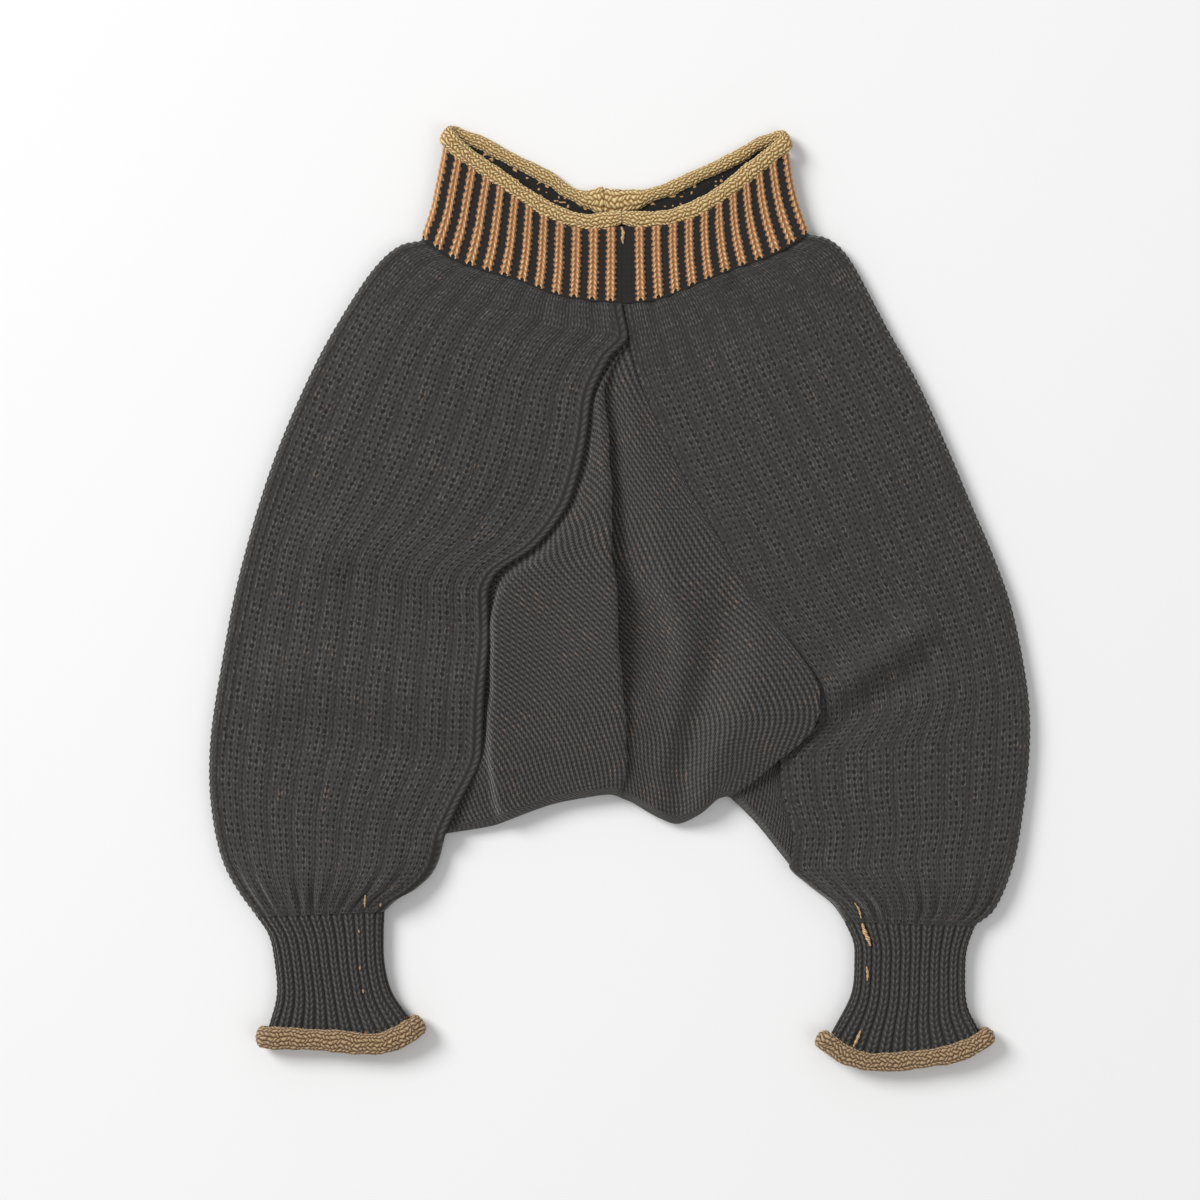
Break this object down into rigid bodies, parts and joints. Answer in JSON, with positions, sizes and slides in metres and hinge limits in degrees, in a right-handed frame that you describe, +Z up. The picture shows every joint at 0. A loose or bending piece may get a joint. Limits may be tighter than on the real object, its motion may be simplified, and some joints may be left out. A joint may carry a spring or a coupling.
{
  "type": "harem pants",
  "caption": "Child's chunky-knit harem pants laid flat, front up: full ribbed legs, a bunched crotch gusset, a striped ribbed waistband, narrow ribbed cuffs and rolled edges.",
  "frame": {"origin": "under the middle of the garment, on the surface that it lies on", "axes": "+Y towards the waist, +X towards the right of the picture (the wearer's left leg), +Z up out of the front"},
  "size_m": [0.411, 0.4748, 0.0124],
  "materials": {
    "leg_knit": "matt charcoal wool, three knit columns to one purl column",
    "gusset_knit": "matt charcoal wool, fine plain knit",
    "waistband_rib": "two-colour corrugated rib, ochre columns over charcoal ones",
    "waist_roll_knit": "rolled edge showing its purl side, gold tan",
    "cuff_rib": "matt charcoal wool, knit-one purl-one rib",
    "cuff_roll_knit": "rolled edge showing its purl side, muted tan"
  },
  "bodies": {
    "root": {"gusset": "gusset_knit", "leg_left": "leg_knit", "leg_right": "leg_knit", "waistband_left": "waistband_rib", "waistband_right": "waistband_rib", "waist_roll_left": "waist_roll_knit", "waist_roll_right": "waist_roll_knit", "cuff_left": "cuff_rib", "cuff_right": "cuff_rib", "cuff_roll_left": "cuff_roll_knit", "cuff_roll_right": "cuff_roll_knit"}
  },
  "joints": []
}
